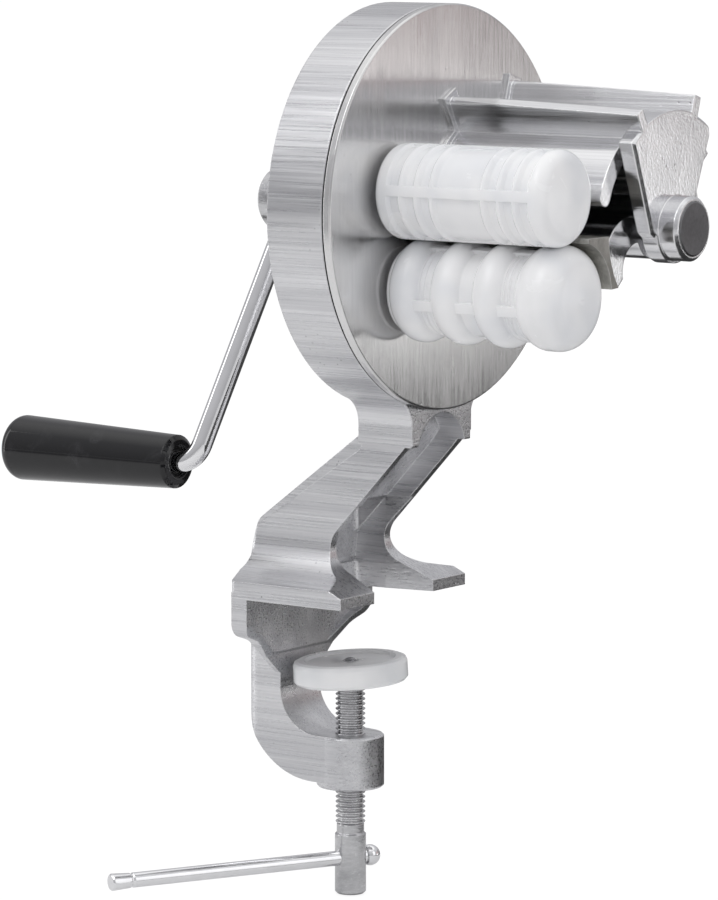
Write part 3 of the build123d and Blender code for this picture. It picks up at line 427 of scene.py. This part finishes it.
# %% Finish: black grip
grip_black, tree, shader, place = new_finish("glossy black plastic")
swell = add(tree, "ShaderNodeTexNoise", {"Scale": 60.0, "Detail": 1.0})
tree.links.new(place, swell.inputs["Vector"])
handled = use_group(tree, pits_scuffs, Scuff_Size=120.0)
tree.links.new(place, handled.inputs["Place"])
tone = add(tree, "ShaderNodeMix", data_type="RGBA")
tone.inputs["A"].default_value = (0.006, 0.006, 0.007, 1)
tone.inputs["B"].default_value = (0.020, 0.020, 0.022, 1)
tree.links.new(handled.outputs["Scuffs"], tone.inputs["Factor"])
tree.links.new(tone.outputs["Result"], shader.inputs["Base Color"])
gloss = add(tree, "ShaderNodeMapRange", {"To Min": 0.05, "To Max": 0.12})
tree.links.new(handled.outputs["Scuffs"], gloss.inputs["Value"])
tree.links.new(gloss.outputs["Result"], shader.inputs["Roughness"])
bump = add(tree, "ShaderNodeBump", {"Strength": 0.05, "Distance": 0.0004})
tree.links.new(swell.outputs["Fac"], bump.inputs["Height"])
normal = edge_light(tree, 0.0006)[0]
tree.links.new(normal, bump.inputs["Normal"])
tree.links.new(bump.outputs["Normal"], shader.inputs["Normal"])
print("made", grip_black.name)

# %% [markdown]
# ## Painted seam shade
# The last finish paints the shade in the seam between plate and drum on a thin ring. It could be
# plain black, but a noise gives it the slight unevenness that keeps a dark line from looking drawn.

# %% Finish: painted seam shade
seam_shade_black, tree, shader, place = new_finish("black painted seam shade")
shade_noise = add(tree, "ShaderNodeTexNoise", {"Scale": 900.0, "Detail": 3.0})
tree.links.new(place, shade_noise.inputs["Vector"])
tone = add(tree, "ShaderNodeMix", data_type="RGBA")
tone.inputs["A"].default_value = (0.004, 0.004, 0.004, 1)
tone.inputs["B"].default_value = (0.018, 0.017, 0.016, 1)
tree.links.new(shade_noise.outputs["Fac"], tone.inputs["Factor"])
tree.links.new(tone.outputs["Result"], shader.inputs["Base Color"])
bump = add(tree, "ShaderNodeBump", {"Strength": 0.3, "Distance": 0.0001})
tree.links.new(shade_noise.outputs["Fac"], bump.inputs["Height"])
tree.links.new(bump.outputs["Normal"], shader.inputs["Normal"])
shader.inputs["Roughness"].default_value = 0.9
print("made", seam_shade_black.name)

# %% [markdown]
# ## Giving each piece its finish
# The record's material slots say which finish each piece takes. A piece keeps its mesh, and only
# its material slots are filled. The anvil shares its slot with smoother pieces, so it is given its
# own coarse finish afterwards.

# %% Assign the finishes
finish_of_slot = {
    "cast_aluminium": cast_aluminium,
    "machined_aluminium": machined_aluminium,
    "polished_aluminium": polished_aluminium,
    "dark_steel": dark_steel,
    "steel": bright_steel,
    "screw_steel": bright_steel,
    "bronze": bush_bronze,
    "chrome": chrome_plate,
    "black_plastic": grip_black,
    "white_plastic": white_plastic,
    "pad_plastic": pad_plastic,
}
for subpart in frame["record"]["subparts"]:
    piece = frame["nodes"][subpart["node"]]
    piece.data.materials.clear()
    piece.data.materials.append(finish_of_slot[subpart["material_slot"]])
frame["nodes"]["forming_anvil"].data.materials[0] = raw_casting
print("finishes given to", len(frame["nodes"]), "pieces")

# %% [markdown]
# ## Joint line
# The front plate is bolted against the drum, and the seam between their two small chamfers shows as
# a fine black line of shade in the gap. A thin black ring that stands just inside the groove paints
# that shade. It starts as a disc. An inset marks off its inside, which is
# deleted so that a flat ring stays, and an extrude gives the ring its thickness.

# %% Ring of painted seam shade
SEAM_BEHIND_FACE = 0.003
GROOVE_DEPTH = 0.00022
SEAM_SHADE_WIDTH = 0.0008
SEAM_SHADE_THICKNESS = 0.00036
plate_low, plate_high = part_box("front_plate")
seam_x = plate_high[0] - SEAM_BEHIND_FACE
seam_r = (plate_high[1] - plate_low[1]) / 2 - GROOVE_DEPTH
bpy.ops.mesh.primitive_circle_add(
    vertices=256,
    radius=seam_r,
    fill_type="NGON",
    location=(seam_x - SEAM_SHADE_THICKNESS / 2, 0, DRUM_CENTRE.z),
    rotation=(0, radians(90), 0),
)
seam_shade = bpy.context.object
seam_shade.name = "painted_seam_shade_ring"
bpy.ops.object.transform_apply(location=True, rotation=True, scale=True)
bpy.ops.object.mode_set(mode="EDIT")
bpy.ops.mesh.select_all(action="SELECT")
bpy.ops.mesh.inset(thickness=SEAM_SHADE_WIDTH)
bpy.ops.mesh.delete(type="FACE")
bpy.ops.mesh.select_all(action="SELECT")
bpy.ops.mesh.extrude_region_move(TRANSFORM_OT_translate={"value": (SEAM_SHADE_THICKNESS, 0, 0)})
bpy.ops.mesh.select_all(action="SELECT")
bpy.ops.mesh.normals_make_consistent(inside=False)
bpy.ops.object.mode_set(mode="OBJECT")
bpy.ops.object.shade_smooth_by_angle(angle=radians(40))
# The ring's black is painted shade for the gap between the plate and the drum.
seam_shade.data.materials.append(seam_shade_black)
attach(seam_shade, "frame")
print("gasket ring of", len(seam_shade.data.polygons), "faces, outer radius", round(seam_r, 5))

# %% [markdown]
# ## Floor and studio
# A plain pale floor and a white room. Polished metal shows what is round it, so a room that is
# white all over would make it look like paper. The light falls off from overhead down to the
# skyline, and cards stand round the machine, as they do in a studio, to give its flat faces their
# lights and darks. They show only in reflections. The floor is brighter to the camera than to
# anything else, so that it meets the white background without a line.

# %% Floor
FLOOR_SIZE = 80.0
FLOOR_GAP = 0.0005
FLOOR_GLOW = 1.12
FLOOR_GLOW_SHARE = 0.82
bpy.ops.mesh.primitive_plane_add(size=FLOOR_SIZE, location=(0, 0, floor_height - FLOOR_GAP))
floor = bpy.context.object
floor.name = "floor"
floor_paint = bpy.data.materials.new("pale floor")
floor_paint.use_nodes = True
tree = floor_paint.node_tree
floor_shader = tree.nodes["Principled BSDF"]
floor_shader.inputs["Base Color"].default_value = (0.80, 0.80, 0.80, 1)
floor_shader.inputs["Roughness"].default_value = 0.8
glow = add(tree, "ShaderNodeEmission", {"Color": (1, 1, 1, 1), "Strength": FLOOR_GLOW})
floor_ray = add(tree, "ShaderNodeLightPath")
blend = add(tree, "ShaderNodeMixShader")
share = add(tree, "ShaderNodeMath", operation="MULTIPLY")
share.inputs[1].default_value = FLOOR_GLOW_SHARE
tree.links.new(floor_ray.outputs["Is Camera Ray"], share.inputs[0])
tree.links.new(share.outputs[0], blend.inputs["Fac"])
tree.links.new(floor_shader.outputs[0], blend.inputs[1])
tree.links.new(glow.outputs[0], blend.inputs[2])
tree.links.new(blend.outputs[0], tree.nodes["Material Output"].inputs["Surface"])
floor.data.materials.append(floor_paint)
print("floor at", round(floor.location.z, 4))

# %% [markdown]
# ## Reflection cards
# The drum's face is seen at a slant, so it mirrors what stands behind and to the right. A black
# card lies on the floor there. Beyond it stand three more: a white one up to the skyline, a warm
# one over that, which tints the top of the face, and a grey one beside them for the hood's end. A
# dim card lies in front and to the left, where the casting's sides mirror the floor.

# %% Helpers for cards
def reflection_card(name, corners, tone, glow=0.0):
    bpy.ops.mesh.primitive_plane_add(size=1.0, location=(0, 0, 0))
    card = bpy.context.object
    card.name = name
    for corner, place in zip(card.data.vertices, corners):
        corner.co = place
    paint = bpy.data.materials.new(name)
    paint.use_nodes = True
    shader = paint.node_tree.nodes["Principled BSDF"]
    shader.inputs["Base Color"].default_value = (0.03, 0.03, 0.03, 1)
    shader.inputs["Roughness"].default_value = 0.9
    shader.inputs["Emission Color"].default_value = (*tone, 1)
    shader.inputs["Emission Strength"].default_value = glow
    card.data.materials.append(paint)
    card.visible_camera = False
    card.visible_diffuse = False
    card.visible_shadow = False
    card.visible_transmission = False


def standing(out_by, left, right, bottom, top):
    foot = away * out_by
    return [
        foot - across * right + Vector((0, 0, bottom)),
        foot - across * left + Vector((0, 0, bottom)),
        foot - across * right + Vector((0, 0, top)),
        foot - across * left + Vector((0, 0, top)),
    ]


def lying(near_by, far_by, half_width):
    lift = Vector((0, 0, floor_height + CARD_LIFT))
    side = across * half_width
    near = away * near_by + lift
    far = away * far_by + lift
    return [near - side, near + side, far - side, far + side]


# %% Set out the cards
CARD_LIFT = 0.001
WALL_AT = 1.80
GREY_AT = 1.79
WALL_EDGE = 0.012
WALL_SIDE = 0.9
WALL_TOP = 0.7
SKYLINE = 0.085
WHITE = (1, 1, 1)
WARM = (1.0, 0.80, 0.80)
GREY = (1.0, 0.97, 0.97)
DIM = (1.0, 1.0, 1.04)
white_place = standing(WALL_AT, -WALL_SIDE, WALL_EDGE, floor_height, SKYLINE)
warm_place = standing(WALL_AT, -WALL_SIDE, WALL_EDGE, SKYLINE, WALL_TOP)
grey_place = standing(GREY_AT, WALL_EDGE, WALL_SIDE, floor_height, WALL_TOP)
reflection_card("black card", lying(0.10, 1.78, 0.9), (0, 0, 0))
reflection_card("white card", white_place, WHITE, 1.7)
reflection_card("warm card", warm_place, WARM, 0.46)
reflection_card("grey card", grey_place, GREY, 0.30)
reflection_card("dim card", lying(-4.0, -1.15, 1.6), DIM, 0.28)
print("five cards set, walls", WALL_AT, "m away")

# %% [markdown]
# ## The room
# The room's light is a ramp by height: dim below the skyline, brighter above it and full overhead.
# Rays straight from the camera see plain white instead, which is the background.

# %% Room
room = bpy.data.worlds.new("white room")
bpy.context.scene.world = room
room.use_nodes = True
tree = room.node_tree
tree.nodes.clear()
leave = add(tree, "ShaderNodeOutputWorld")
aim = add(tree, "ShaderNodeTexCoord")
split = add(tree, "ShaderNodeSeparateXYZ")
tree.links.new(aim.outputs["Generated"], split.inputs[0])
shade = add(tree, "ShaderNodeValToRGB")
tree.links.new(split.outputs["Z"], shade.inputs["Fac"])
shade.color_ramp.elements[0].position = 0.0
shade.color_ramp.elements[0].color = (0.36, 0.36, 0.37, 1)
shade.color_ramp.elements[1].position = 0.86
shade.color_ramp.elements[1].color = (1.0, 1.0, 1.0, 1)
edge_of_box = shade.color_ramp.elements.new(0.70)
edge_of_box.color = (0.58, 0.58, 0.60, 1)
backdrop = add(tree, "ShaderNodeBackground", {"Color": (1, 1, 1, 1), "Strength": 1.0})
around = add(tree, "ShaderNodeBackground", {"Strength": 1.1})
tree.links.new(shade.outputs["Color"], around.inputs["Color"])
ray = add(tree, "ShaderNodeLightPath")
pick = add(tree, "ShaderNodeMixShader")
tree.links.new(ray.outputs["Is Camera Ray"], pick.inputs["Fac"])
tree.links.new(around.outputs[0], pick.inputs[1])
tree.links.new(backdrop.outputs[0], pick.inputs[2])
tree.links.new(pick.outputs[0], leave.inputs["Surface"])
print("room", room.name)

# %% [markdown]
# ## Camera and lights
# The lens is long, so parallel edges stay nearly parallel. The machine hangs low and to the left of
# its drum, so the camera aims below the drum's middle and a little to its left. Softboxes are set
# out from the camera's own directions: one high on the left, one at the right and a strip at the
# far left.

# %% Camera
DISTANCE = 1.43865
AIM_LEFT = 0.02831
AIM_DOWN = 0.07525
target = DRUM_CENTRE - to_right * AIM_LEFT - to_top * AIM_DOWN
lens = bpy.data.cameras.new("camera")
lens.sensor_fit = "VERTICAL"
lens.sensor_height = 36.0
lens.lens = 185.64
lens.clip_end = 20.0
camera = bpy.data.objects.new("camera", lens)
bpy.context.scene.collection.objects.link(camera)
turn = Matrix((to_right, to_top, to_camera)).transposed().to_4x4()
camera.matrix_world = Matrix.Translation(target + to_camera * DISTANCE) @ turn
bpy.context.scene.camera = camera
print("camera at", [round(v, 3) for v in camera.matrix_world.translation])


# %% Softboxes
def softbox(name, right, top, front, wide, tall, power):
    lamp = bpy.data.lights.new(name, "AREA")
    lamp.shape = "RECTANGLE"
    lamp.size = wide
    lamp.size_y = tall
    lamp.energy = power
    box = bpy.data.objects.new(name, lamp)
    bpy.context.scene.collection.objects.link(box)
    place = DRUM_CENTRE + to_right * right + to_top * top + to_camera * front
    back = (place - DRUM_CENTRE).normalized()
    side = Vector((0, 0, 1)).cross(back).normalized()
    turn = Matrix((side, back.cross(side), back)).transposed().to_4x4()
    box.matrix_world = Matrix.Translation(place) @ turn


softbox("key", -0.7, 0.9, 0.7, 0.8, 0.8, 4.0)
softbox("fill", 1.0, 0.2, 0.8, 0.6, 1.0, 1.2)
softbox("strip", -0.9, 0.1, -0.2, 0.2, 1.2, 1.5)
bpy.context.scene.view_settings.view_transform = "Standard"
print("lights set")
